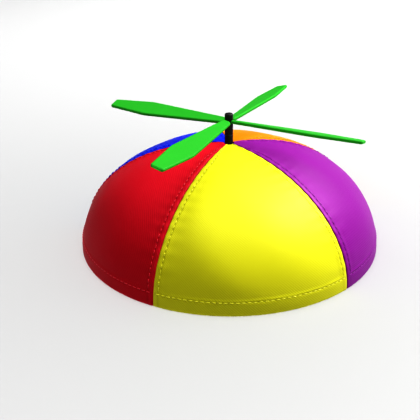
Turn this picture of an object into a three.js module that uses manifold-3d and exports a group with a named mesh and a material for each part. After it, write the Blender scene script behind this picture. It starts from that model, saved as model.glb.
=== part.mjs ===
// A propeller beanie: five cloth gores sewn into a round crown, and a four-bladed propeller that spins on a spindle.
// Millimetres, +Z up. The origin is the centre of the rim, on the surface that the hat rests on.
// The yellow gore faces -Y, and the spindle and the propeller's axis lie along Z.

import * as THREE from "three";
import { mergeVertices } from "three/addons/utils/BufferGeometryUtils.js";
import Module from "manifold-3d";

const wasm = await Module();
wasm.setup();

// Crown: the cloth and the shape that it is cut to
const RIM_INSIDE_DIAMETER = 180.4; // for a head of 567 mm round
const CROWN_HEIGHT = 63; // rim to top, outside
const CROWN_FULLNESS = 2.05; // exponent of the profile: 2 is an ellipse, and more is fuller
const CLOTH_THICKNESS = 1.6; // shell cloth with its turned seam allowances
const SEAM_GAP = 0.3; // between the facing edges of two gores
const FIRST_GORE_FACING = 270; // degrees from +X to the middle of the first gore
const GORES = [
  { name: "gore_yellow", colour: 0xf0ee12 },
  { name: "gore_purple", colour: 0xb52abd },
  { name: "gore_orange", colour: 0xff9e02 },
  { name: "gore_blue", colour: 0x1020ea },
  { name: "gore_red", colour: 0xe01022 },
];
const GORE_COLUMNS = 14;
const GORE_ROWS = 16;

// Spindle: shaft, pin and the plate under the cloth
const SHAFT_DIAMETER = 5;
const SHAFT_RISE = 5; // crown top to the shaft's shoulder
const PIN_DIAMETER = 2.2;
const PLATE_DIAMETER = 20;
const PLATE_THICKNESS = 1.6;
const PLATE_STEPS = 4; // steps of the plate's upper face, which follows the cloth
const CLOTH_CLEARANCE = 0.3; // between the spindle and the cloth round it

// Propeller: hub
const SLEEVE_LENGTH = 8.1; // blade plane to the sleeve's lower end
const CAP_HEIGHT = 4.8; // blade plane to the cap's top
const CAP_ROUNDING = 0.7;
const CAP_STEPS = 3; // straight steps round the cap's edge
const BORE_DEPTH = 5.6;
const BORE_CLEARANCE = 0.4; // between the pin and the bore, all round
const RUNNING_GAP = 0.3; // between the shaft's shoulder and the sleeve, and above the pin

// Propeller: blades
const BLADE_COUNT = 4;
const FIRST_BLADE_FACING = 234; // degrees from +X
const BLADE_PITCH = 14.5; // degrees: the counter-clockwise edge is the lower one
const BLADE_THICKNESS = 2;
const BLADE_BEVEL = 1; // how far the faces are set in from the outline
const BLADE_BEVEL_DEPTH = 0.5;
const BLADE_WIDEST_AT = 55.7; // axis to the widest place
const BLADE_TAPER_LENGTH = 26.5; // widest place to the tip
const BLADE_ROOT_WIDTH = 5;
const BLADE_WIDTH = 14.3;
const BLADE_TIP_WIDTH = 7.7;
const BLADE_GAP = 0.7; // between the roots of two neighbouring blades
const TANG_WIDTH = 1.5;
const TANG_THICKNESS = 1;
const TANG_DEPTH = 0.65; // how far the tang reaches into the hub
const TANG_OVERLAP = 2; // how far the tang runs on inside its blade
const SEAT_CLEARANCE = 0.3; // between a blade or its tang and the hub

const ROUND_SIDES = 32;

// Sizes worked out from the ones above
const RIM_RADIUS = RIM_INSIDE_DIAMETER / 2 + CLOTH_THICKNESS;
const SHAFT_RADIUS = SHAFT_DIAMETER / 2;
const PIN_RADIUS = PIN_DIAMETER / 2;
const PLATE_RADIUS = PLATE_DIAMETER / 2;
const CROWN_HOLE_RADIUS = SHAFT_RADIUS + CLOTH_CLEARANCE;
const SHOULDER_Z = CROWN_HEIGHT + SHAFT_RISE;
const SLEEVE_END_Z = SHOULDER_Z + RUNNING_GAP;
const BLADE_PLANE_Z = SLEEVE_END_Z + SLEEVE_LENGTH;
const PIN_TOP_Z = SLEEVE_END_Z + BORE_DEPTH - RUNNING_GAP;
const PITCH = THREE.MathUtils.degToRad(BLADE_PITCH);
const BLADE_STEP = (2 * Math.PI) / BLADE_COUNT;

function clothMaterial(colour) {
  return new THREE.MeshStandardMaterial({ color: colour, roughness: 0.85, metalness: 0 });
}

function plasticMaterial(colour, roughness) {
  return new THREE.MeshStandardMaterial({ color: colour, roughness, metalness: 0 });
}

function positionsOnly(geometry) {
  const bare = geometry.clone();
  bare.deleteAttribute("normal");
  bare.deleteAttribute("uv");
  return mergeVertices(bare);
}

function solidOf(geometry) {
  const merged = positionsOnly(geometry);
  return new wasm.Manifold(
    new wasm.Mesh({
      numProp: 3,
      vertProperties: merged.attributes.position.array,
      triVerts: new Uint32Array(merged.index.array),
    }),
  );
}

function geometryOf(solid) {
  const mesh = solid.getMesh();
  const geometry = new THREE.BufferGeometry();
  geometry.setAttribute("position", new THREE.BufferAttribute(mesh.vertProperties, 3));
  geometry.setIndex(new THREE.BufferAttribute(mesh.triVerts, 1));
  geometry.computeVertexNormals();
  return geometry;
}

// A profile of [radius, height] points turned about Z. It starts and ends on the axis.
function turned(profile) {
  const points = profile.map(([radius, height]) => new THREE.Vector2(radius, height));
  return new THREE.LatheGeometry(points, ROUND_SIDES).rotateX(Math.PI / 2);
}

// The crown's profile is (r / RIM_RADIUS)^n + (z / CROWN_HEIGHT)^n = 1, with n the fullness.
// angleAtRadius gives the parameter of the point whose radius is given: 0 at the rim, a quarter turn at the top.
function angleAtRadius(radius) {
  return Math.acos((radius / RIM_RADIUS) ** (CROWN_FULLNESS / 2));
}

// The point of the profile at a parameter, moved in from the outer face by a depth along the face's normal.
function crownPoint(angle, depth) {
  const across = Math.cos(angle) ** (2 / CROWN_FULLNESS);
  const rise = Math.sin(angle) ** (2 / CROWN_FULLNESS);
  const slopeR = across ** (CROWN_FULLNESS - 1) / RIM_RADIUS;
  const slopeZ = rise ** (CROWN_FULLNESS - 1) / CROWN_HEIGHT;
  const length = Math.hypot(slopeR, slopeZ);
  return {
    r: RIM_RADIUS * across - (depth * slopeR) / length,
    z: CROWN_HEIGHT * rise - (depth * slopeZ) / length,
  };
}

// One gore, facing +X. A box is bent onto the crown: its x runs across the gore, its y up the profile and its z
// out through the cloth. The two side faces stay half a seam gap away from the seams' own planes.
function goreGeometry() {
  const box = new THREE.BoxGeometry(1, 1, 1, GORE_COLUMNS, GORE_ROWS, 1);
  const position = box.getAttribute("position");
  const topAngle = angleAtRadius(CROWN_HOLE_RADIUS);
  const { mapLinear } = THREE.MathUtils;
  for (let i = 0; i < position.count; i++) {
    const angle = mapLinear(position.getY(i), -0.5, 0.5, 0, topAngle);
    const depth = mapLinear(position.getZ(i), 0.5, -0.5, 0, CLOTH_THICKNESS);
    const { r, z } = crownPoint(angle, depth);
    const span = 2 * (Math.PI / GORES.length - Math.asin(SEAM_GAP / 2 / r));
    const turn = position.getX(i) * span;
    position.setXYZ(i, r * Math.cos(turn), r * Math.sin(turn), z);
  }
  return geometryOf(solidOf(box));
}

function makeCrown() {
  const crown = new THREE.Group();
  const geometry = goreGeometry();
  GORES.forEach(({ name, colour }, i) => {
    const gore = new THREE.Mesh(geometry, clothMaterial(colour));
    gore.name = name;
    gore.rotation.z = THREE.MathUtils.degToRad(FIRST_GORE_FACING + (360 / GORES.length) * i);
    crown.add(gore);
  });
  return crown;
}

// The spindle is turned in one piece: the plate under the cloth, the shaft through it, and the pin on the shaft.
function makeSpindle() {
  const edgeAngle = angleAtRadius(PLATE_RADIUS);
  const shaftAngle = angleAtRadius(SHAFT_RADIUS);
  const upperFace = [];
  for (let i = 0; i < PLATE_STEPS; i++) {
    const angle = THREE.MathUtils.lerp(edgeAngle, shaftAngle, i / PLATE_STEPS);
    const { r, z } = crownPoint(angle, CLOTH_THICKNESS + CLOTH_CLEARANCE);
    upperFace.push([r, z]);
  }
  const neck = crownPoint(shaftAngle, CLOTH_THICKNESS + CLOTH_CLEARANCE);
  const [plateEdge, plateEdgeZ] = upperFace[0];
  const plateBottomZ = plateEdgeZ - PLATE_THICKNESS;
  const profile = [
    [0, plateBottomZ],
    [plateEdge, plateBottomZ],
    ...upperFace,
    [SHAFT_RADIUS, neck.z],
    [SHAFT_RADIUS, SHOULDER_Z],
    [PIN_RADIUS, SHOULDER_Z],
    [PIN_RADIUS, PIN_TOP_Z],
    [0, PIN_TOP_Z],
  ];
  const spindle = new THREE.Mesh(turned(profile), plasticMaterial(0x050505, 0.4));
  spindle.name = "spindle";
  return spindle;
}

// A blade's tang, grown by a clearance on every side but its outer end. It points along +X from the blade plane.
function tangGeometry(clearance) {
  const inner = SHAFT_RADIUS - TANG_DEPTH - clearance;
  const outer = SHAFT_RADIUS + SEAT_CLEARANCE + TANG_OVERLAP;
  const tang = new THREE.BoxGeometry(
    outer - inner,
    TANG_WIDTH + 2 * clearance,
    TANG_THICKNESS + 2 * clearance,
  );
  return tang.translate((inner + outer) / 2, 0, 0).rotateX(-PITCH);
}

// The hub's heights are measured from the blade plane.
function hubGeometry() {
  const boreRadius = PIN_RADIUS + BORE_CLEARANCE;
  const boreTop = BORE_DEPTH - SLEEVE_LENGTH;
  const profile = [
    [0, boreTop],
    [boreRadius, boreTop],
    [boreRadius, -SLEEVE_LENGTH],
    [SHAFT_RADIUS, -SLEEVE_LENGTH],
  ];
  for (let i = 0; i <= CAP_STEPS; i++) {
    const turn = (Math.PI / 2) * (i / CAP_STEPS);
    const radius = SHAFT_RADIUS - CAP_ROUNDING * (1 - Math.cos(turn));
    profile.push([radius, CAP_HEIGHT - CAP_ROUNDING * (1 - Math.sin(turn))]);
  }
  profile.push([0, CAP_HEIGHT]);
  let hub = solidOf(turned(profile));
  for (let i = 0; i < BLADE_COUNT; i++) {
    const facing = THREE.MathUtils.degToRad(FIRST_BLADE_FACING) + BLADE_STEP * i;
    hub = hub.subtract(solidOf(tangGeometry(SEAT_CLEARANCE).rotateZ(facing)));
  }
  return geometryOf(hub);
}

// A blade along +X: its bevelled outline, pitched, cut back from the hub and from both neighbours, with its tang.
function bladeGeometry() {
  const reach = BLADE_WIDEST_AT + BLADE_TAPER_LENGTH;
  const outline = new THREE.Shape();
  outline.moveTo(0, -BLADE_ROOT_WIDTH / 2);
  outline.lineTo(BLADE_WIDEST_AT, -BLADE_WIDTH / 2);
  outline.lineTo(reach, -BLADE_TIP_WIDTH / 2);
  outline.lineTo(reach, BLADE_TIP_WIDTH / 2);
  outline.lineTo(BLADE_WIDEST_AT, BLADE_WIDTH / 2);
  outline.lineTo(0, BLADE_ROOT_WIDTH / 2);
  outline.closePath();
  const flatDepth = BLADE_THICKNESS - 2 * BLADE_BEVEL_DEPTH;
  const plank = new THREE.ExtrudeGeometry(outline, {
    depth: flatDepth,
    bevelThickness: BLADE_BEVEL_DEPTH,
    bevelSize: BLADE_BEVEL,
    bevelOffset: -BLADE_BEVEL,
    bevelSegments: 1,
  });
  plank.translate(0, 0, -flatDepth / 2).rotateX(-PITCH);

  const start = BLADE_GAP / 2 / Math.sin(BLADE_STEP / 2);
  const sector = new THREE.Shape();
  sector.moveTo(start, 0);
  sector.lineTo(start + 2 * reach * Math.cos(BLADE_STEP / 2), -2 * reach * Math.sin(BLADE_STEP / 2));
  sector.lineTo(start + 2 * reach * Math.cos(BLADE_STEP / 2), 2 * reach * Math.sin(BLADE_STEP / 2));
  sector.closePath();
  const slab = new THREE.ExtrudeGeometry(sector, { depth: 2 * BLADE_WIDTH, bevelEnabled: false });
  slab.translate(0, 0, -BLADE_WIDTH);

  const hubRoom = new THREE.CylinderGeometry(
    SHAFT_RADIUS + SEAT_CLEARANCE,
    SHAFT_RADIUS + SEAT_CLEARANCE,
    2 * BLADE_WIDTH,
    ROUND_SIDES,
  ).rotateX(Math.PI / 2);

  const blade = solidOf(plank)
    .intersect(solidOf(slab))
    .subtract(solidOf(hubRoom))
    .add(solidOf(tangGeometry(0)));
  return geometryOf(blade);
}

// The propeller group stands in the blade plane.
function makePropeller() {
  const propeller = new THREE.Group();
  const hub = new THREE.Mesh(hubGeometry(), plasticMaterial(0x050505, 0.4));
  hub.name = "hub";
  propeller.add(hub);
  const geometry = bladeGeometry();
  for (let i = 0; i < BLADE_COUNT; i++) {
    const blade = new THREE.Mesh(geometry, plasticMaterial(0x2ad02a, 0.35));
    blade.name = "blade_" + "abcdefgh"[i];
    blade.rotation.z = THREE.MathUtils.degToRad(FIRST_BLADE_FACING) + BLADE_STEP * i;
    propeller.add(blade);
  }
  propeller.position.z = BLADE_PLANE_Z;
  return propeller;
}

const beanie = new THREE.Group();
beanie.add(makeCrown(), makeSpindle(), makePropeller());
export default beanie;
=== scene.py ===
"""A propeller beanie on a pale studio floor: five sewn gores, a black spindle and a green propeller.

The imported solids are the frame, and every piece here stands for one of them or is sewn to one. The sizes in
the classes are in millimetres and their meshes are written in metres. The hat stands on its rim at height 0,
the yellow gore faces -Y and the propeller turns about Z.
"""

import logging
import math
from collections.abc import Sequence
from dataclasses import dataclass, field
from enum import Enum
from typing import Any

import bpy
import numpy as np
from mathutils import Matrix, Vector


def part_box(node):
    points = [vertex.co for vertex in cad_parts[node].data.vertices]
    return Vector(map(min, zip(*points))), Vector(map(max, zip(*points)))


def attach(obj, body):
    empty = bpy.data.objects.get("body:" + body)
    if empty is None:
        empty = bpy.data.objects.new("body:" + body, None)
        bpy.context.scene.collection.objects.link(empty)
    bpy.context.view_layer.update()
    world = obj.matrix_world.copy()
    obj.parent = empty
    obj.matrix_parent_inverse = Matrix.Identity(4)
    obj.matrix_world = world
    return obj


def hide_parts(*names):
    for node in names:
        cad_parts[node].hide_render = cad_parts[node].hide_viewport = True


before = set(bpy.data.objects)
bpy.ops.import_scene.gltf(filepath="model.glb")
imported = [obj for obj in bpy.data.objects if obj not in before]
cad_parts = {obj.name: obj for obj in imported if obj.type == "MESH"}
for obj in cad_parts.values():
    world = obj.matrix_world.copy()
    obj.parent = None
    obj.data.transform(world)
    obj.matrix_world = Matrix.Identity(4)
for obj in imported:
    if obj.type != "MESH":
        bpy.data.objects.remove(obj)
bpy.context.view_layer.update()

LOG = logging.getLogger("beanie")
METRE = 0.001  # metres in a millimetre
UV_SPAN = 100.0  # millimetres in one unit of a UV map
BAND_ROOM = 1.4  # edge bands in half of a strip's width, below which the bands shrink with the strip
STRAIGHT = 1.57  # half of a corner's angle, in radians, past which a profile's corner isn't rounded
FULL_EDGE_BEND = 0.25  # radians of bend at which a profile's corner has the full mark edge

Rgb = tuple[float, float, float]
Place = tuple[float, float, float]
# A gore's shadow colour is painted shade, for its seams, stitch rows and twill valleys.
Dyes = tuple[str, Rgb, Rgb, Rgb, Rgb, float]  # a gore's name, dye, shadow, faded dye, gloss and shine
Values = dict[Any, Any] | None  # a node's settings, or what goes into its sockets


class Side(Enum):
    """The two edges of a gore, by the way that the angle runs towards them."""

    CLOCKWISE = -1
    COUNTER = 1


# Shader expressions


class Signal:
    """A number that varies over a surface. Arithmetic on it adds Math nodes to its material."""

    def __init__(self, sketch: "Sketch", socket: bpy.types.NodeSocket) -> None:
        """Wraps an output socket of a sketch's node tree."""
        self.sketch = sketch
        self.socket = socket

    def __add__(self, other: "Signal | float") -> "Signal":
        """self + other."""
        return self.sketch.math("ADD", self, other)

    __radd__ = __add__

    def __sub__(self, other: "Signal | float") -> "Signal":
        """self - other."""
        return self.sketch.math("SUBTRACT", self, other)

    def __rsub__(self, other: float) -> "Signal":
        """other - self."""
        return self.sketch.math("SUBTRACT", other, self)

    def __mul__(self, other: "Signal | float") -> "Signal":
        """self * other."""
        return self.sketch.math("MULTIPLY", self, other)

    __rmul__ = __mul__

    def __pow__(self, other: float) -> "Signal":
        """self raised to a power."""
        return self.sketch.math("POWER", self, other)

    def wave(self) -> "Signal":
        """A cosine of the signal, one period for each unit, moved to run from 0 to 1."""
        return 0.5 + 0.5 * self.sketch.math("COSINE", self * (2 * math.pi))

    def held(self) -> "Signal":
        """The signal kept between 0 and 1."""
        return self.sketch.math("MINIMUM", self.sketch.math("MAXIMUM", self, 0.0), 1.0)


class Sketch:
    """One material's node tree, written with Python expressions."""

    def __init__(self, name: str) -> None:
        """Starts an empty material of that name."""
        self.material = bpy.data.materials.new(name)
        self.material.use_nodes = True
        self.tree = self.material.node_tree
        self.tree.nodes.clear()

    def add(self, kind: str, settings: Values = None, inputs: Values = None) -> bpy.types.Node:
        """Adds one node.

        Args:
            kind: the node's type.
            settings: its properties, set first.
            inputs: a value or a link for each socket that is named or numbered.

        Returns:
            The new node.
        """
        node = self.tree.nodes.new(kind)
        for name, value in (settings or {}).items():
            setattr(node, name, value)
        for key, value in (inputs or {}).items():
            if isinstance(value, Signal):
                self.tree.links.new(value.socket, node.inputs[key])
            else:
                node.inputs[key].default_value = value
        return node

    def read(self, kind: str, output: str | int, settings: Values = None, inputs: Values = None) -> Signal:
        """Adds one node, as add does, and returns one of its outputs."""
        return Signal(self, self.add(kind, settings, inputs).outputs[output])

    def math(self, operation: str, first: "Signal | float", second: "Signal | float" = 0.0) -> Signal:
        """Adds a Math node on one or two values."""
        return self.read("ShaderNodeMath", 0, {"operation": operation}, {0: first, 1: second})

    def mark(self, name: str) -> Signal:
        """Reads a number that the mesh carries at each vertex."""
        return self.read("ShaderNodeAttribute", "Fac", {"attribute_name": name})

    def noise(self, vector: Signal, scale: float, detail: float) -> Signal:
        """Soft noise round 0.5 at a place; the scale counts its lumps in one unit of the place."""
        inputs = {"Vector": vector, "Scale": scale, "Detail": detail}
        return self.read("ShaderNodeTexNoise", "Fac", None, inputs)

    def blend(self, share: Signal, low: "Rgb | Signal", high: "Rgb | Signal") -> Signal:
        """A colour between two colours: the low one where the share is 0, and the high one where it is 1."""
        settings = {"data_type": "RGBA", "clamp_factor": True}
        colours = [c if isinstance(c, Signal) else (*c, 1.0) for c in (low, high)]
        return self.read("ShaderNodeMix", 2, settings, {0: share, 6: colours[0], 7: colours[1]})

    def bump(self, height: Signal, depth_mm: float, strength: float) -> Signal:
        """A normal bent by a height from 0 to 1, which stands for a depth in millimetres."""
        inputs = {"Strength": strength, "Distance": depth_mm * METRE, "Height": height}
        return self.read("ShaderNodeBump", "Normal", None, inputs)

    def surface(self, inputs: dict[str, Any]) -> bpy.types.Material:
        """Ends the sketch with a Principled shader that has these inputs, and returns the material."""
        shader = self.read("ShaderNodeBsdfPrincipled", "BSDF", None, inputs)
        self.add("ShaderNodeOutputMaterial", None, {"Surface": shader})
        return self.material


# Finishes


@dataclass(frozen=True)
class TwillFinish:
    """Dyed cotton twill: fine diagonal wales, yarns side by side, and a soft shine on the crown's round."""

    slot: str
    dye: Rgb
    # shadow: the colour of the painted shade in the seams, under the stitches and in the twill's valleys
    shadow: Rgb
    faded: Rgb
    gloss: Rgb
    shine: float
    yarn_mm: float = 0.5
    wale_yarns: float = 3.0
    relief_mm: float = 0.09

    def make(self) -> bpy.types.Material:
        """Builds the material. It reads the cloth's own UV map, the mark of painted shade in the seams and
        under the stitch rows, and the mark ridge.

        Returns:
            The material.
        """
        sketch = Sketch(self.slot)
        place = sketch.read("ShaderNodeUVMap", "UV", {"uv_map": "cloth"})
        across, along = (sketch.read("ShaderNodeSeparateXYZ", axis, None, {0: place}) for axis in ("X", "Y"))
        warp = across * (UV_SPAN / self.yarn_mm)
        weft = along * (UV_SPAN / self.yarn_mm)
        slub = sketch.noise(place, 260.0, 3.0)
        wale = ((warp + weft) * (1 / self.wale_yarns) + slub * 0.35).wave()
        yarn = warp.wave()
        weave = wale * 0.6 + yarn * wale * 0.25 + slub * 0.25
        cloud = sketch.noise(place, 9.0, 3.0)
        fade = (cloud - 0.5) * 0.5 + (slub - 0.5) * 0.25 + sketch.mark("ridge") * 0.55
        # Painted shade: the shadow colour is blended in at the seams, under the stitch rows and in the
        # twill's valleys between wales.
        dark = sketch.mark("painted_shade") * 0.45 + (1 - wale) * 0.16
        dyed = sketch.blend(fade.held(), self.dye, self.faded)
        return sketch.surface(
            {
                "Base Color": sketch.blend(dark.held(), dyed, self.shadow),
                "Roughness": 0.46 + (1 - weave) * 0.12 + (cloud - 0.5) * 0.1,
                "Normal": sketch.bump(weave, self.relief_mm, 0.5),
                "Specular IOR Level": self.shine,
                "Specular Tint": (*self.gloss, 1.0),
            }
        )


@dataclass(frozen=True)
class ThreadFinish:
    """Sewing thread in a gore's own colour, two plies twisted together, with a light polish."""

    name: str
    dye: Rgb
    ply_mm: float = 0.9

    def make(self) -> bpy.types.Material:
        """Builds the material. Its UV map runs along the stitch and round it.

        Returns:
            The material.
        """
        sketch = Sketch(self.name)
        place = sketch.read("ShaderNodeUVMap", "UV", {"uv_map": "cloth"})
        along, around = (sketch.read("ShaderNodeSeparateXYZ", axis, None, {0: place}) for axis in ("X", "Y"))
        twist = (along * (UV_SPAN / self.ply_mm) + around).wave()
        # Painted shade: the thread is darker in the grooves between its twisted plies.
        groove_shade = tuple(0.7 * part for part in self.dye)
        return sketch.surface(
            {
                "Base Color": sketch.blend(twist, groove_shade, self.dye),
                "Roughness": 0.42 + twist * 0.1,
                "Normal": sketch.bump(twist, 0.08, 0.6),
            }
        )


@dataclass(frozen=True)
class PlasticFinish:
    """Moulded plastic with a faint grain from its mould, flow clouds, and edges a little lighter: worn by
    handling, and on the black a painted highlight.
    """

    slot: str
    colour: Rgb
    rubbed_and_highlight: Rgb
    roughness: float
    index: float
    grain_mm: float = 0.012

    def make(self) -> bpy.types.Material:
        """Builds the material. It reads Object coordinates and the mark edge.

        Returns:
            The material.
        """
        sketch = Sketch(self.slot)
        place = sketch.read("ShaderNodeTexCoord", "Object")
        grain = sketch.noise(place, 2600.0, 2.0)
        flow = sketch.noise(place, 60.0, 3.0)
        handled = sketch.noise(place, 220.0, 4.0)
        # The lighter edge colour is partly wear and partly painted highlight: on the black it stands in for
        # light caught along edges such as the hub cap's top edge.
        wear_and_highlight = sketch.mark("edge") * (0.1 + handled * 0.6) + (flow - 0.5) * 0.25
        return sketch.surface(
            {
                "Base Color": sketch.blend(wear_and_highlight.held(), self.colour, self.rubbed_and_highlight),
                "Roughness": self.roughness + (handled - 0.5) * 0.22 + sketch.mark("edge") * 0.08,
                "Normal": sketch.bump(grain, self.grain_mm, 0.5),
                "IOR": self.index,
            }
        )


@dataclass(frozen=True)
class PaperFinish:
    """The studio's matt paper: one tone near the hat and up the wall, and a paler one between, which is
    painted light that makes up for the lamps' light falling off away from the hat.
    """

    near: Rgb
    far: Rgb
    near_reach: float = 0.1
    far_reach: float = 1.3
    wall_reach: float = 3.2

    def make(self) -> bpy.types.Material:
        """Builds the material. Its colour follows the distance from the floor's middle.

        Returns:
            The material.
        """
        sketch = Sketch("studio_paper")
        place = sketch.read("ShaderNodeTexCoord", "Object")
        fibre = sketch.noise(place, 900.0, 3.0)
        distance = sketch.read("ShaderNodeVectorMath", "Value", {"operation": "LENGTH"}, {0: place})
        away = ((distance - self.near_reach) * (1 / (self.far_reach - self.near_reach))).held()
        wall = ((distance - self.far_reach) * (1 / (self.wall_reach - self.far_reach))).held()
        # Painted light: the paler tone stands in for lamp light that falls off away from the hat; the darker
        # tone near the hat keeps its bounce onto the hat low.
        share = (1 - (1 - away) ** 2) * (1 - wall) + (fibre - 0.5) * 0.03
        return sketch.surface(
            {"Base Color": sketch.blend(share, self.near, self.far), "Roughness": 0.9, "IOR": 1.3}
        )


# Meshes from arrays


@dataclass
class Surface:
    """A closed mesh in millimetres: points, faces as arrays of corners, a UV for each point, and marks."""

    points: np.ndarray
    faces: list[np.ndarray]
    uv: np.ndarray | None = None
    marks: dict[str, np.ndarray] = field(default_factory=dict)

    def volume(self) -> float:
        """The signed volume of the faces, cut into fans of triangles: above 0 where they face outwards."""
        total = 0.0
        for ring in self.faces:
            first = self.points[ring[:, 0]]
            for k in range(1, ring.shape[1] - 1):
                second, third = self.points[ring[:, k]], self.points[ring[:, k + 1]]
                total += float(np.einsum("ij,ij->", first, np.cross(second, third))) / 6
        return total

    def build(self, name: str, material: bpy.types.Material) -> bpy.types.Object:
        """Writes the mesh, with its faces outwards, and gives it its material.

        Args:
            name: the new object's name.
            material: what it is made of.

        Returns:
            The new object, at the origin.
        """
        turn = 1 if self.volume() > 0 else -1
        corners = [face for ring in self.faces for face in ring[:, ::turn].tolist()]
        mesh = bpy.data.meshes.new(name)
        mesh.from_pydata(self.points * METRE, [], corners)
        mesh.shade_smooth()
        for mark, values in self.marks.items():
            attribute = mesh.attributes.new(mark, "FLOAT", "POINT")
            attribute.data.foreach_set("value", values.astype(np.float32).ravel())
        if self.uv is not None:
            corner_points = np.zeros(len(mesh.loops), np.int32)
            mesh.loops.foreach_get("vertex_index", corner_points)
            layer = mesh.uv_layers.new(name="cloth")
            layer.data.foreach_set("uv", self.uv[corner_points].astype(np.float32).ravel())
        mesh.materials.append(material)
        piece = bpy.data.objects.new(name, mesh)
        bpy.context.scene.collection.objects.link(piece)
        return piece


def grid_faces(rows: int, columns: int, wrap_rows: bool = False, wrap_columns: bool = False) -> np.ndarray:
    """Quads of a grid of points that are numbered along its rows.

    Args:
        rows: how many rows.
        columns: how many points in a row.
        wrap_rows: whether the last row joins the first.
        wrap_columns: whether each row's last point joins its first.

    Returns:
        An array of four corners for each quad.
    """
    i = np.arange(rows if wrap_rows else rows - 1)[:, None]
    j = np.arange(columns if wrap_columns else columns - 1)[None, :]
    i2, j2 = (i + 1) % rows, (j + 1) % columns
    quads = [i * columns + j, i * columns + j2, i2 * columns + j2, i2 * columns + j]
    return np.stack([np.broadcast_to(q, (i.size, j.size)) for q in quads], -1).reshape(-1, 4)


def graded(length: float, coarse: float, fine: float, spots: Sequence[float], reach: float) -> np.ndarray:
    """Places from 0 to a length, set closer round some spots.

    The step at x is coarse - (coarse - fine) * exp(-((x - spot) / reach)^2) for the nearest spot. The places
    are equal steps of the running sum of 1 / step.

    Args:
        length: the last place.
        coarse: the step far from the spots.
        fine: the step at a spot.
        spots: where the places are closest.
        reach: how far a spot acts.

    Returns:
        The places, in order.
    """
    samples = 4001
    x = np.linspace(0.0, length, samples)
    away = np.min(np.abs(x[None, :] - np.array(spots)[:, None]), axis=0)
    density = 1 / (coarse - (coarse - fine) * np.exp(-((away / reach) ** 2)))
    total = np.concatenate([[0.0], np.cumsum((density[1:] + density[:-1]) / 2 * np.diff(x))])
    count = int(round(total[-1])) + 1
    return np.interp(np.linspace(0.0, total[-1], count), total, x)


def edge_columns(width: np.ndarray, band: np.ndarray, middle: int) -> tuple[np.ndarray, np.ndarray]:
    """How far each column of a strip lies from the strip's nearer edge, close together along both edges.

    The band's places hold where the strip is wide, and shrink with it where half of it is narrower than
    BAND_ROOM bands. The other columns share what is left evenly.

    Args:
        width: half of the strip's width in each row.
        band: places from 0, measured in from an edge.
        middle: columns between a band and the centre line.

    Returns:
        The distances of half a row, edge to centre, and the scale of each row's band.
    """
    scale = np.minimum(1.0, width / (BAND_ROOM * band[-1]))[:, None]
    near = band[None, :] * scale
    share = np.arange(1, middle + 1)[None, :] / middle
    inner = near[:, -1:] + share * (width[:, None] - near[:, -1:])
    return np.concatenate([near, inner], axis=1), scale


def rings_about_z(radius: np.ndarray, height: np.ndarray, sides: int) -> np.ndarray:
    """Rings of points (r cos a, r sin a, h), one for each radius and height, as rows of X, Y and Z."""
    angle = np.arange(sides) * (2 * math.pi / sides)
    r, h = radius[:, None], np.broadcast_to(height[:, None], (len(height), sides))
    return np.stack([r * np.cos(angle), r * np.sin(angle), h], -1).reshape(-1, 3)


def closed_rings(rings: int, sides: int) -> list[np.ndarray]:
    """Faces of rings of points, closed at both ends by fans round two more points, numbered last."""
    here = np.arange(sides)
    after = (here + 1) % sides
    top = (rings - 1) * sides
    low_fan = np.stack([np.full(sides, rings * sides), after, here], -1)
    high_fan = np.stack([np.full(sides, rings * sides + 1), top + here, top + after], -1)
    return [grid_faces(rings, sides, wrap_columns=True), low_fan, high_fan]


def step(x: np.ndarray) -> np.ndarray:
    """A smooth step: 0 below 0, 1 above 1, and 3x^2 - 2x^3 between."""
    held = np.clip(x, 0.0, 1.0)
    return held * held * (3 - 2 * held)


def bell(x: np.ndarray) -> np.ndarray:
    """exp(-x^2): 1 at 0, falling away on both sides."""
    return np.exp(-(x * x))


def rounded(corners: Sequence[tuple[float, float, float]], arc_steps: int = 6) -> np.ndarray:
    """A profile with its corners rounded.

    Each corner is x, y and a radius. An arc of that radius touches both of the corner's sides: it starts and
    ends radius / tan(half the corner's angle) away from the corner.

    Args:
        corners: the profile's points, each with its radius; the two ends have none.
        arc_steps: straight steps in an arc.

    Returns:
        The points of the rounded profile.
    """
    made = [np.array(corners[0][:2])]
    for before, here, after in zip(corners[:-2], corners[1:-1], corners[2:]):
        point = np.array(here[:2])
        back, on = (np.array(p[:2]) - point for p in (before, after))
        back, on = back / np.linalg.norm(back), on / np.linalg.norm(on)
        half = math.acos(float(np.clip(back @ on, -1.0, 1.0))) / 2
        if here[2] == 0 or half > STRAIGHT:
            made.append(point)
            continue
        centre = point + (back + on) / np.linalg.norm(back + on) * here[2] / math.sin(half)
        start, end = (point + side * here[2] / math.tan(half) - centre for side in (back, on))
        turn = math.atan2(start[0] * end[1] - start[1] * end[0], float(start @ end))
        for k in range(arc_steps + 1):
            c, s = math.cos(turn * k / arc_steps), math.sin(turn * k / arc_steps)
            made.append(centre + np.array([c * start[0] - s * start[1], s * start[0] + c * start[1]]))
    made.append(np.array(corners[-1][:2]))
    return np.array(made)


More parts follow.
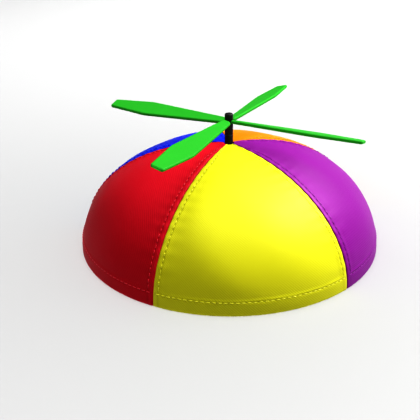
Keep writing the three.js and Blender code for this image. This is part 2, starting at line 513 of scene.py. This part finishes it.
def turned(profile: np.ndarray, sides: int, edge_mm: float) -> Surface:
    """A profile of radius and height turned about Z, with one point at each of its two ends on the axis.

    Args:
        profile: rows of radius and height; the first and the last lie on the axis.
        sides: points in each ring.
        edge_mm: how far from a corner of the profile the mark edge fades out.

    Returns:
        The closed surface, with the mark edge high where the profile bends.
    """
    rings = profile[1:-1]
    ends = np.array([[0.0, 0.0, profile[0, 1]], [0.0, 0.0, profile[-1, 1]]])
    way = np.diff(profile, axis=0)
    way /= np.linalg.norm(way, axis=1)[:, None]
    bend = np.arccos(np.clip(np.sum(way[1:] * way[:-1], axis=1), -1.0, 1.0))
    apart = np.linalg.norm(rings[:, None] - rings[None, :], axis=2)
    bent = np.max(bend[None, :] * np.exp(-apart / edge_mm), axis=1)
    edge = np.clip(bent / FULL_EDGE_BEND, 0.0, 1.0)
    return Surface(
        np.concatenate([rings_about_z(rings[:, 0], rings[:, 1], sides), ends]),
        closed_rings(len(rings), sides),
        marks={"edge": np.concatenate([np.repeat(edge, sides), [0.0, 0.0]])},
    )


# Crown


@dataclass
class CrownForm:
    """The crown's outer face, turned about Z.

    Its profile is (r / rim_radius)^fullness + (z / height)^fullness = 1. A place on it is given by its arc:
    the length along the profile, up from the rim.
    """

    rim_radius: float
    height: float
    fullness: float = 2.05
    table_rows: int = 6001

    def __post_init__(self) -> None:
        """Works out a fine table of arc, radius, height and the outward normal's two parts."""
        turn = np.linspace(0.0, math.pi / 2, self.table_rows)
        across = np.cos(turn) ** (2 / self.fullness)
        rise = np.sin(turn) ** (2 / self.fullness)
        r, z = self.rim_radius * across, self.height * rise
        slope_r = across ** (self.fullness - 1) / self.rim_radius
        slope_z = rise ** (self.fullness - 1) / self.height
        length = np.hypot(slope_r, slope_z)
        arc = np.concatenate([[0.0], np.cumsum(np.hypot(np.diff(r), np.diff(z)))])
        self.table = (arc, r, z, slope_r / length, slope_z / length)

    def arc_at(self, radius: float) -> float:
        """The arc at which the profile has that radius."""
        return float(np.interp(radius, self.table[1][::-1], self.table[0][::-1]))

    def radius_at(self, arc: np.ndarray) -> np.ndarray:
        """The profile's radius at each arc."""
        return np.interp(arc, self.table[0], self.table[1])

    def point(self, arc: np.ndarray, heading: np.ndarray, depth: np.ndarray) -> np.ndarray:
        """Points under the outer face.

        Args:
            arc: length up the profile.
            heading: angle from +X about Z.
            depth: how far in from the outer face, along its normal; below 0 it is outside.

        Returns:
            The points, with X, Y and Z last.
        """
        r, z, normal_r, normal_z = (np.interp(arc, self.table[0], part) for part in self.table[1:])
        out = r - depth * normal_r
        return np.stack([out * np.cos(heading), out * np.sin(heading), z - depth * normal_z], -1)


@dataclass(frozen=True)
class Sewing:
    """How the gores are sewn together and hemmed."""

    stitch_pitch: float = 3.1
    stitch_length: float = 2.5
    thread: float = 0.5
    seam_row: float = 3.2
    hem_row: float = 8.0
    seam_start: float = 9.5
    seam_end: float = 5.0
    roll: float = 0.9
    allowance: float = 6.5
    allowance_lift: float = 0.28
    allowance_fall: float = 0.8
    lift_past_row: float = 0.6
    lift_fall: float = 1.6
    dent: float = 0.3
    dent_reach: float = 0.55
    pucker: float = 0.1
    pucker_length: float = 7.3
    pucker_reach: float = 9.0
    thread_rise: float = 0.12
    stitch_sides: int = 6
    stitch_rings: int = 5

    def lift(self, past: np.ndarray) -> np.ndarray:
        """The lift of the face by the turned cloth, past a row of stitches: a smooth step down."""
        return self.allowance_lift * (1 - step((past - self.lift_past_row) / self.lift_fall))

    def furrow(self, past: np.ndarray) -> np.ndarray:
        """The furrow that a row of stitches pulls, at a distance across it: a bell, below 0."""
        return -self.dent * bell(past / self.dent_reach)

    def pull(self, along: np.ndarray) -> np.ndarray:
        """How hard the stitches pull along a row: a cosine from 0.2 to 1, highest at the needle holes."""
        return 0.6 + 0.4 * np.cos(2 * math.pi * along / self.stitch_pitch)


@dataclass
class Gore:
    """One gore of the crown, from its rolled hem to its tip at the spindle.

    It is a strip of cloth round a closed loop: up the outer face, over the tip's fold, down the inner face
    and round the rim's fold.
    """

    facing: float
    count: int
    form: CrownForm
    tip_radius: float
    wall: float
    sewing: Sewing = Sewing()
    band: float = 12.0
    row_steps: tuple[float, float] = (0.95, 0.35)
    row_reach: float = 2.5
    column_steps: tuple[float, float] = (1.3, 0.16)
    column_reach: float = 1.1
    middle_columns: int = 16
    unevenness: float = 0.22
    seam_gap: float = 0.03
    fold_steps: int = 10

    @property
    def half_angle(self) -> float:
        """Half of the angle that the gore covers."""
        return math.pi / self.count

    def half_width(self, arc: np.ndarray) -> np.ndarray:
        """Half of the gore's width at each arc, measured round the crown."""
        return self.form.radius_at(arc) * self.half_angle

    def relief(self, arc: np.ndarray, near: np.ndarray, across: np.ndarray) -> np.ndarray:
        """How far the sewn cloth stands out of the plain form.

        The terms are the roll of the cloth down into the seam (a quarter circle), the lift of the turned seam
        allowance and of the hem (smooth steps), the furrow that the stitches pull (a bell across the row,
        deeper at the needle holes), the puckers beside the seam (a sine along it) and a slow unevenness (four
        sines), which is calm at the seams, at the rim and where the gore is narrow.

        Args:
            arc: length up the profile.
            near: distance from the seam, as if the gore were wide there.
            across: distance from the gore's centre line.

        Returns:
            The height of the relief.
        """
        sew = self.sewing
        inside = np.clip(sew.roll - near, 0.0, sew.roll)
        roll = np.sqrt(sew.roll**2 - inside**2) - sew.roll
        lift = np.maximum(sew.lift(near - sew.seam_row), sew.lift(arc - sew.hem_row))
        sewn = step((arc - sew.seam_start) / 2)
        seam_furrow = sew.furrow(near - sew.seam_row) * sew.pull(arc - sew.seam_start) * sewn
        hem_furrow = sew.furrow(arc - sew.hem_row) * step((near - 1.0) / 2) * sew.pull(across)
        random = np.random.default_rng(round(math.degrees(self.facing)))
        phase = random.uniform(0, 2 * math.pi, 6)
        wavelength = random.uniform(34.0, 64.0, 4)
        slant = random.uniform(0.0, math.pi, 4)
        drift = np.sin(arc / 11.0 + phase[5])
        pucker = sew.pucker * bell(near / sew.pucker_reach) * sewn
        pucker = pucker * np.sin(2 * math.pi * arc / sew.pucker_length + phase[4] + drift)
        slow = sum(
            np.sin(2 * math.pi * (across * math.cos(s) + arc * math.sin(s)) / w + p)
            for s, w, p in zip(slant, wavelength, phase)
        )
        room = step((self.half_width(arc) - 4.0) / 30.0)
        free = step((near - 1.0) / 14.0) * step((arc - 3.0) / 16.0) * room
        return roll + lift + seam_furrow + hem_furrow + pucker + self.unevenness * slow * free / 2

    def surface(self) -> Surface:
        """The gore's cloth.

        Returns:
            The closed surface, with its UV map in cloth lengths, the mark of painted shade in the seam and
            under the stitch rows, and the mark ridge.
        """
        sew = self.sewing
        fold = self.wall / 2
        top = self.form.arc_at(self.tip_radius) - fold
        rows = fold + graded(top - fold, *self.row_steps, (sew.hem_row - fold, 0.0), self.row_reach)
        turn = np.linspace(0.0, math.pi, self.fold_steps + 2)[1:-1]
        arc = np.concatenate([rows, top + fold * np.sin(turn), rows[::-1], fold - fold * np.sin(turn)])
        inward = 0.5 - 0.5 * np.cos(turn)
        share = np.concatenate([np.zeros(len(rows)), inward, np.ones(len(rows)), inward[::-1]])
        width = self.half_width(arc)
        band = graded(self.band, *self.column_steps, (0.0, sew.seam_row), self.column_reach)
        half, scale = edge_columns(width, band, self.middle_columns)
        near_half = half / scale
        across_half = width[:, None] - half
        near = np.concatenate([near_half, near_half[:, -2::-1]], axis=1)
        across = np.concatenate([-across_half, across_half[:, -2::-1]], axis=1)
        arcs = np.broadcast_to(arc[:, None], near.shape)
        outer = self.relief(arcs, near, across)
        turned_in = (1 - step((near - sew.allowance) / sew.allowance_fall)) * step(near / sew.allowance_fall)
        inner = -sew.allowance_lift * 2 * turned_in
        depth = self.wall * share[:, None] - outer * (1 - share[:, None]) - inner * share[:, None]
        gap = np.arcsin(self.seam_gap / self.form.radius_at(arc))[:, None]
        angle = across / width[:, None] * (self.half_angle - gap)
        points = self.form.point(arcs, self.facing + angle, depth)
        count, columns = near.shape
        outside = 1 - share[:, None]
        # Painted shade: full in the seam's valley and 0.45 under the stitch rows, where shade falls. The
        # ridges are the folded edges.
        painted_shade = np.maximum(bell(near / 0.35), 0.45 * bell((near - sew.seam_row) / 0.5)) * outside
        painted_shade = np.maximum(painted_shade, 0.45 * bell((arcs - sew.hem_row) / 0.5) * outside)
        ridge = np.maximum(bell((near - 1.3) / 0.7) * 0.7, bell((arcs - 0.5) / 0.9)) * outside
        return Surface(
            points.reshape(-1, 3),
            self.faces(len(rows), count, columns),
            np.stack([across, arcs], -1).reshape(-1, 2) / UV_SPAN,
            {"painted_shade": painted_shade, "ridge": ridge},
        )

    def faces(self, rows: int, count: int, columns: int) -> list[np.ndarray]:
        """The faces of the cloth's loop and of its two cut edges in the seams.

        Args:
            rows: rows on the outer face, and as many on the inner face.
            count: rows of the whole loop.
            columns: points in a row.

        Returns:
            The loop's quads; for each edge the quads between its outer and inner rows, and one face in each
            fold.
        """
        made = [grid_faces(count, columns, wrap_rows=True)]
        outer = np.arange(rows)
        inner = rows + self.fold_steps + (rows - 1 - outer)
        tip = np.arange(rows - 1, rows + self.fold_steps + 1)
        rim = np.concatenate([np.arange(count - self.fold_steps - 1, count), [0]])
        for column, turn in ((0, 1), (columns - 1, -1)):
            strip = np.stack([outer[:-1], outer[1:], inner[1:], inner[:-1]], -1) * columns + column
            made.append(strip[:, ::turn])
            for ring in (tip, rim):
                made.append((ring * columns + column)[None, ::turn])
        return made

    def stitches(self) -> Surface:
        """The gore's topstitching: a row beside each seam and one round the hem, in one surface.

        Returns:
            The closed stitches, with their UV map along and round each one.
        """
        sew = self.sewing
        top = self.form.arc_at(self.tip_radius) - sew.seam_end
        number = int((top - sew.seam_start) / sew.stitch_pitch)
        seam_arc = sew.seam_start + sew.stitch_pitch * (np.arange(number) + 0.5)
        middles, ways, outs = [], [], []
        for side in Side:
            middle, way, out = self.seam_row_at(seam_arc, side)
            middles.append(middle)
            ways.append(way)
            outs.append(out)
        middle, way, out = self.hem_row_at()
        return stitch_row(
            np.concatenate([*middles, middle]),
            np.concatenate([*ways, way]),
            np.concatenate([*outs, out]),
            sew,
        )

    def on_cloth(self, arc: np.ndarray, near: np.ndarray, side: int) -> np.ndarray:
        """Points on the sewn outer face at a distance from one seam, as if the gore were wide there."""
        width = self.half_width(arc)
        scale = np.minimum(1.0, width / (BAND_ROOM * self.band))
        across = side * (width - near * scale)
        depth = -self.relief(arc, near, across) - self.sewing.thread_rise
        return self.form.point(arc, self.facing + across / width * self.half_angle, depth)

    def seam_row_at(self, arc: np.ndarray, side: Side) -> tuple[np.ndarray, np.ndarray, np.ndarray]:
        """The middles, directions and outward normals of the stitches beside one seam."""
        row = np.full(arc.shape, self.sewing.seam_row)
        nudge = 0.4
        middle = self.on_cloth(arc, row, side.value)
        way = self.on_cloth(arc + nudge, row, side.value) - self.on_cloth(arc - nudge, row, side.value)
        over = self.on_cloth(arc, row + nudge, side.value) - self.on_cloth(arc, row - nudge, side.value)
        return middle, way, np.cross(way, over) * side.value

    def hem_row_at(self) -> tuple[np.ndarray, np.ndarray, np.ndarray]:
        """The middles, directions and outward normals of the stitches round the hem."""
        sew = self.sewing
        width = float(self.half_width(np.array(sew.hem_row)))
        number = int(width / sew.stitch_pitch)
        across = sew.stitch_pitch * (np.arange(-number, number) + 0.5)
        arc = np.full(across.shape, sew.hem_row)
        lift = self.relief(arc, width - np.abs(across), across) + sew.thread_rise
        heading = self.facing + across / width * self.half_angle
        middle = self.form.point(arc, heading, -lift)
        way = np.stack([-np.sin(heading), np.cos(heading), np.zeros_like(heading)], -1)
        out = self.form.point(arc, heading, -lift - 1.0) - middle
        return middle, way, out


def stitch_row(middle: np.ndarray, way: np.ndarray, out: np.ndarray, sewing: Sewing) -> Surface:
    """Many stitches as one surface.

    One stitch is a spindle: at a share t from -1 to 1 of half its length its radius is the thread's times
    (1 - t^4)^0.5, and it dips by 0.5 t^2 of the thread into the cloth.

    Args:
        middle: the stitches' middles.
        way: the directions in which they run.
        out: the cloth's normals.
        sewing: the stitches' sizes.

    Returns:
        The closed surface of all of them.
    """
    sides, rings = sewing.stitch_sides, sewing.stitch_rings
    share = np.linspace(-1.0, 1.0, rings + 2)
    radius = sewing.thread / 2 * np.sqrt(np.clip(1 - share**4, 0.0, 1.0))
    angle = np.arange(sides) * (2 * math.pi / sides)
    body = np.stack(
        [
            np.broadcast_to((share * sewing.stitch_length / 2)[1:-1, None], (rings, sides)),
            radius[1:-1, None] * np.cos(angle),
            radius[1:-1, None] * np.sin(angle) - 0.5 * sewing.thread * share[1:-1, None] ** 2,
        ],
        -1,
    ).reshape(-1, 3)
    tips = np.array([[s * sewing.stitch_length / 2, 0.0, -0.5 * sewing.thread] for s in (-1.0, 1.0)])
    local = np.concatenate([body, tips])
    way = way / np.linalg.norm(way, axis=1)[:, None]
    out = out - np.sum(out * way, axis=1)[:, None] * way
    out = out / np.linalg.norm(out, axis=1)[:, None]
    axes = np.stack([way, np.cross(out, way), out], 1)
    points = middle[:, None, :] + np.einsum("pk,nkx->npx", local, axes)
    shift = (np.arange(len(middle)) * len(local))[:, None, None]
    around = np.concatenate([np.tile(np.arange(sides) / sides, rings), [0.0, 0.0]])
    uv = np.stack([local[:, 0] / UV_SPAN, around], -1)
    return Surface(
        points.reshape(-1, 3),
        [(part[None] + shift).reshape(-1, part.shape[1]) for part in closed_rings(rings, sides)],
        np.tile(uv, (len(middle), 1)),
    )


@dataclass
class Crown:
    """The five gores with their sewing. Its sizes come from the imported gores."""

    wall: float = 1.6
    spindle_room: float = 0.12
    thread_tone: float = 0.95
    # The third colour of each gore is painted shade, for its seams, stitch rows and twill valleys.
    gores: tuple[Dyes, ...] = (
        ("yellow", (0.615, 0.605, 0.024), (0.26, 0.25, 0.008), (0.70, 0.69, 0.042), (0.6, 0.6, 0.6), 0.36),
        ("purple", (0.218, 0.010, 0.236), (0.07, 0.005, 0.08), (0.29, 0.022, 0.32), (1.0, 0.45, 1.0), 0.56),
        ("orange", (0.74, 0.225, 0.004), (0.34, 0.08, 0.002), (0.82, 0.26, 0.010), (0.5, 0.5, 0.4), 0.22),
        ("blue", (0.010, 0.024, 0.57), (0.004, 0.009, 0.23), (0.016, 0.038, 0.65), (0.4, 0.5, 0.6), 0.22),
        ("red", (0.53, 0.014, 0.032), (0.23, 0.006, 0.014), (0.63, 0.028, 0.054), (0.6, 0.4, 0.4), 0.22),
    )
    first_facing: float = 270.0

    def make(self) -> list[bpy.types.Object]:
        """Builds and dresses every gore.

        Returns:
            The cloth pieces and the rows of stitches.
        """
        low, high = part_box("gore_yellow")
        form = CrownForm(-low.y / METRE, high.z / METRE)
        hub_low, hub_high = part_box("hub")
        tip_radius = (hub_high.x - hub_low.x) / METRE / 2 + self.spindle_room
        pieces = []
        for number, (colour, dye, shadow, faded, gloss, shine) in enumerate(self.gores):
            facing = math.radians(self.first_facing + 360 / len(self.gores) * number)
            gore = Gore(facing, len(self.gores), form, tip_radius, self.wall)
            twill = TwillFinish(f"cloth_{colour}", dye, shadow, faded, gloss, shine).make()
            cloth = gore.surface().build(f"cloth_{colour}", twill)
            thread_dye = tuple(self.thread_tone * part for part in faded)
            cotton = ThreadFinish(f"thread_{colour}", thread_dye).make()
            thread = gore.stitches().build(f"stitches_{colour}", cotton)
            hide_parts(f"gore_{colour}")
            for piece in (cloth, thread):
                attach(piece, "crown")
                pieces.append(piece)
        return pieces


# Spindle and propeller


@dataclass
class Spindle:
    """The black spindle: a plate under the cloth, the shaft, and the pin that the hub turns on."""

    plate_radius: float = 9.9
    plate_thickness: float = 1.6
    pin_radius: float = 1.1
    plate_rounding: float = 0.4
    collar: float = 0.4
    running_gap: float = 0.3
    softened: float = 0.25
    wear_reach: float = 0.35
    sides: int = 64

    def make(self, material: bpy.types.Material) -> bpy.types.Object:
        """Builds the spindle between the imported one's lowest and highest points.

        Args:
            material: the black plastic.

        Returns:
            The piece.
        """
        low, high = (corner.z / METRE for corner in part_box("spindle"))
        hub_low, hub_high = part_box("hub")
        shaft = (hub_high.x - hub_low.x) / METRE / 2
        plate_top = low + self.plate_thickness
        shoulder = hub_low.z / METRE - self.running_gap
        corners = [
            (0.0, low, 0.0),
            (self.plate_radius, low, self.plate_rounding),
            (self.plate_radius, plate_top, self.plate_rounding),
            (shaft, plate_top + self.collar, 0.3),
            (shaft, shoulder, self.softened),
            (self.pin_radius, shoulder, 0.15),
            (self.pin_radius, high, 0.3),
            (0.0, high, 0.0),
        ]
        piece = turned(rounded(corners), self.sides, self.wear_reach).build("spindle_black", material)
        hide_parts("spindle")
        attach(piece, "crown")
        return piece


@dataclass
class Blade:
    """One flat pitched blade along +X: its outline, its bevelled edges and its square tip.

    Half of its width at x is the smallest of three straight lines, from the root to the widest place, from
    there to the tip, and the 45 degree cut beside the next blade's root, with rounded corners between them.
    """

    root_half: float = 2.5
    widest_at: float = 55.7
    widest_half: float = 7.15
    reach: float = 82.2
    tip_half: float = 3.85
    thickness: float = 2.0
    bevel: float = 0.55
    bevel_depth: float = 0.5
    bevel_softness: float = 0.12
    root_gap: float = 0.7
    inner_end: float = 1.0
    corner_sharpness: float = 6.0
    tip_corner: float = 1.3
    edge_radius: float = 0.08
    wear_reach: float = 0.22
    pitch: float = 14.5
    row_steps: tuple[float, float] = (1.6, 0.06)
    row_reach: float = 1.6
    band: float = 1.9
    band_steps: tuple[float, float] = (0.3, 0.035)
    band_reach: float = 0.7
    middle_columns: int = 8

    def half_width(self, x: np.ndarray) -> np.ndarray:
        """Half of the width at each x, before the tip's corners are rounded."""
        first = self.root_half + (self.widest_half - self.root_half) * x / self.widest_at
        share = (x - self.widest_at) / (self.reach - self.widest_at)
        second = self.widest_half + (self.tip_half - self.widest_half) * share
        cut = x - self.root_gap / math.sqrt(2)
        sharp = self.corner_sharpness
        return -np.log(np.exp(-sharp * first) + np.exp(-sharp * second) + np.exp(-sharp * cut)) / sharp

    def half_height(self, inset: np.ndarray) -> np.ndarray:
        """Half of the thickness at a distance in from the outline: a small round, the bevel, then flat."""
        rim = self.thickness / 2 - self.bevel_depth
        soft = self.bevel_softness
        ramp = inset / self.bevel
        flat = self.bevel_depth * (ramp - soft * np.logaddexp(0.0, (ramp - 1) / soft))
        inside = np.clip(self.edge_radius - inset, 0.0, self.edge_radius)
        return rim + flat + np.sqrt(self.edge_radius**2 - inside**2) - self.edge_radius

    def surface(self) -> Surface:
        """The blade, unpitched, in its own frame.

        The grid's rows run along x and its columns round the section: over the top and back underneath. A
        point's inset from the outline is (a^-8 + b^-8)^(-1/8), a rounded least of its distances from the side
        and the tip.

        Returns:
            The closed surface, with its UV map in blade lengths and the mark edge.
        """
        length = self.reach - self.inner_end
        spots = (0.0, self.widest_at - self.inner_end, length)
        x = self.inner_end + graded(length, *self.row_steps, spots, self.row_reach)
        width = self.half_width(x)
        slope = np.gradient(width, x)
        past = np.clip(x - self.reach + self.tip_corner, 0.0, self.tip_corner)
        width = width - self.tip_corner + np.sqrt(self.tip_corner**2 - past**2)
        band = graded(self.band, *self.band_steps, (0.0,), self.band_reach)
        half, _ = edge_columns(width, band, self.middle_columns)
        side = half / np.sqrt(1 + slope[:, None] ** 2)
        tip = np.broadcast_to((self.reach - x)[:, None], side.shape)
        tiny = 1e-5
        inset = (np.maximum(side, tiny) ** -8 + np.maximum(tip, tiny) ** -8) ** -0.125
        height = self.half_height(inset)
        offset = width[:, None] - half
        y = np.concatenate([-offset, offset[:, -2::-1]], axis=1)
        z = np.concatenate([height, height[:, -2::-1]], axis=1)
        edge = np.exp(-np.concatenate([inset, inset[:, -2::-1]], axis=1) / self.wear_reach)
        columns = y.shape[1]
        around = 2 * columns
        xs = np.broadcast_to(x[:, None], y.shape)
        top = np.stack([xs, y, z], -1)
        under = np.stack([xs, y, -z], -1)[:, ::-1]
        points = np.concatenate([top, under], axis=1).reshape(-1, 3)
        j = np.arange(columns - 1)
        cap = np.stack([j, j + 1, around - 2 - j, around - 1 - j], -1)
        last = (len(x) - 1) * around
        return Surface(
            points,
            [grid_faces(len(x), around, wrap_columns=True), cap, (last + cap)[:, ::-1]],
            points[:, :2] / UV_SPAN,
            {"edge": np.concatenate([edge, edge[:, ::-1]], axis=1)},
        )


@dataclass
class Propeller:
    """The hub and its four blades, which turn together."""

    cap_rounding: float = 0.7
    bore_radius: float = 1.5
    bore_depth: float = 5.6
    sleeve: float = 8.1
    wear_reach: float = 0.35
    sides: int = 64
    first_facing: float = 234.0
    names: tuple[str, ...] = ("blade_a", "blade_b", "blade_c", "blade_d")

    def make(self, black: bpy.types.Material, green: bpy.types.Material) -> list[bpy.types.Object]:
        """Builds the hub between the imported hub's ends, and the blades in its blade plane.

        Args:
            black: the hub's plastic.
            green: the blades' plastic.

        Returns:
            The five pieces.
        """
        low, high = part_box("hub")
        radius = (high.x - low.x) / METRE / 2
        bottom, top = low.z / METRE, high.z / METRE
        corners = [
            (0.0, bottom + self.bore_depth, 0.0),
            (self.bore_radius, bottom + self.bore_depth, 0.0),
            (self.bore_radius, bottom, 0.1),
            (radius, bottom, 0.2),
            (radius, top, self.cap_rounding),
            (0.0, top, 0.0),
        ]
        hub = turned(rounded(corners), self.sides, self.wear_reach).build("hub_black", black)
        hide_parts("hub")
        pieces = [hub]
        blade = Blade()
        plain = blade.surface()
        for number, name in enumerate(self.names):
            facing = math.radians(self.first_facing + 360 / len(self.names) * number)
            place = Matrix.Translation((0, 0, bottom + self.sleeve)) @ Matrix.Rotation(facing, 4, "Z")
            place = np.array(place @ Matrix.Rotation(-math.radians(blade.pitch), 4, "X"))
            points = plain.points @ place[:3, :3].T + place[:3, 3]
            piece = Surface(points, plain.faces, plain.uv, plain.marks).build(f"{name}_green", green)
            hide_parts(name)
            pieces.append(piece)
        for piece in pieces:
            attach(piece, "propeller")
        return pieces


# Studio


@dataclass(frozen=True)
class Lamp:
    """A square soft light: its side and rise in degrees, its size in millimetres and its power in watts."""

    name: str
    heading: float
    rise: float
    size: float
    watts: float
    shadows: bool


@dataclass
class Studio:
    """The pale floor that turns up into a wall all round, the lights and the camera at the picture's view."""

    # The paper's paler second tone is painted light, against the lamps' fall-off away from the hat.
    paper: PaperFinish = PaperFinish((0.37, 0.37, 0.37), (0.62, 0.62, 0.62))
    floor_rings: tuple[float, ...] = (20.0, 120.0, 500.0)
    floor_radius: float = 1600.0
    floor_sides: int = 96
    cove_radius: float = 1200.0
    cove_rings: int = 17
    wall_top: float = 2600.0
    floor_drop: float = 0.15
    sky_strength: float = 0.02
    lamps: tuple[Lamp, ...] = (
        Lamp("key", 8.0, 51.0, 1900.0, 6.0, True),
        Lamp("key_fill", 8.0, 51.0, 700.0, 40.0, False),
        Lamp("overhead", 200.0, 82.0, 1500.0, 13.0, True),
    )
    lamp_distance: float = 1800.0
    lamp_target: Place = (0.0, 0.0, 40.0)
    camera_place: Place = (-68.7, -401.7, 213.1)
    camera_heading: float = 81.95
    camera_dip: float = 25.569
    camera_roll: float = -0.619
    focal_pixels: float = 719.4
    picture_pixels: float = 420.0
    sensor: float = 36.0
    nearest_seen: float = 10.0
    farthest_seen: float = 20000.0

    def make_floor(self) -> bpy.types.Object:
        """Builds the floor: a disc, a quarter circle up, and a wall, turned about Z.

        Returns:
            The floor.
        """
        sides = self.floor_sides
        turn = np.linspace(0.0, math.pi / 2, self.cove_rings)
        cove_r = self.floor_radius + self.cove_radius * np.sin(turn)
        cove_z = self.cove_radius * (1 - np.cos(turn))
        radius = np.concatenate([self.floor_rings, cove_r, cove_r[-1:]])
        flat = np.zeros(len(self.floor_rings))
        height = np.concatenate([flat, cove_z, [self.wall_top]]) - self.floor_drop
        rings = rings_about_z(radius, height, sides)
        points = np.concatenate([rings, [[0.0, 0.0, -self.floor_drop]]])
        here = np.arange(sides)
        fan = np.stack([np.full(sides, len(rings)), here, (here + 1) % sides], -1)
        floor = Surface(points, [grid_faces(len(radius), sides, wrap_columns=True)[:, ::-1], fan])
        return floor.build("studio_floor", self.paper.make())

    def hang(self, lamp: Lamp) -> None:
        """Hangs a lamp at its distance from the hat, looking at it."""
        light = bpy.data.lights.new(lamp.name, "AREA")
        light.size = lamp.size * METRE
        light.energy = lamp.watts
        light.use_shadow = lamp.shadows
        a, e = math.radians(lamp.heading), math.radians(lamp.rise)
        way = Vector((math.cos(a) * math.cos(e), math.sin(a) * math.cos(e), math.sin(e)))
        holder = bpy.data.objects.new(lamp.name, light)
        holder.location = way * self.lamp_distance * METRE + Vector(self.lamp_target) * METRE
        holder.rotation_euler = way.to_track_quat("Z", "Y").to_euler()
        bpy.context.scene.collection.objects.link(holder)

    def make_camera(self) -> None:
        """Sets the camera at the picture's viewing angle.

        The view's right and up lie level and square to the heading, and are then rolled about the view.
        """
        heading, dip = math.radians(self.camera_heading), math.radians(self.camera_dip)
        roll = math.radians(self.camera_roll)
        ahead = Vector((math.cos(heading) * math.cos(dip), math.sin(heading) * math.cos(dip), -math.sin(dip)))
        level = Vector((math.sin(heading), -math.cos(heading), 0.0))
        upright = level.cross(ahead)
        right = level * math.cos(roll) + upright * math.sin(roll)
        up = upright * math.cos(roll) - level * math.sin(roll)
        lens = bpy.data.cameras.new("picture_camera")
        lens.sensor_width = self.sensor
        lens.lens = self.focal_pixels / self.picture_pixels * self.sensor
        lens.clip_start, lens.clip_end = self.nearest_seen * METRE, self.farthest_seen * METRE
        camera = bpy.data.objects.new("picture_camera", lens)
        turned_to = Matrix((right, up, -ahead)).transposed().to_4x4()
        camera.matrix_world = Matrix.Translation(Vector(self.camera_place) * METRE) @ turned_to
        bpy.context.scene.collection.objects.link(camera)
        bpy.context.scene.camera = camera

    def make(self) -> None:
        """Sets up the floor, the sky's even light, the lamps, the camera and a high contrast."""
        scene = bpy.context.scene
        self.make_floor()
        world = bpy.data.worlds.new("studio_sky")
        world.use_nodes = True
        sky = world.node_tree.nodes["Background"].inputs
        sky["Color"].default_value = (1.0, 1.0, 1.0, 1.0)
        sky["Strength"].default_value = self.sky_strength
        scene.world = world
        for lamp in self.lamps:
            self.hang(lamp)
        self.make_camera()
        scene.view_settings.view_transform = "Standard"
        scene.view_settings.look = "Very High Contrast"


def main() -> None:
    """Builds the hat and its studio."""
    logging.basicConfig(level=logging.INFO, format="%(name)s: %(message)s")
    Studio().make()
    # The black's lighter edge colour is partly a painted highlight along edges such as the hub cap's top
    # edge, and partly wear.
    black = PlasticFinish("black_plastic", (0.004, 0.004, 0.0044), (0.024, 0.024, 0.025), 0.4, 1.45).make()
    green = PlasticFinish("green_plastic", (0.036, 0.315, 0.033), (0.047, 0.43, 0.043), 0.52, 1.22).make()
    pieces = Crown().make()
    pieces.append(Spindle().make(black))
    pieces += Propeller().make(black, green)


if __name__ == "__main__":
    main()
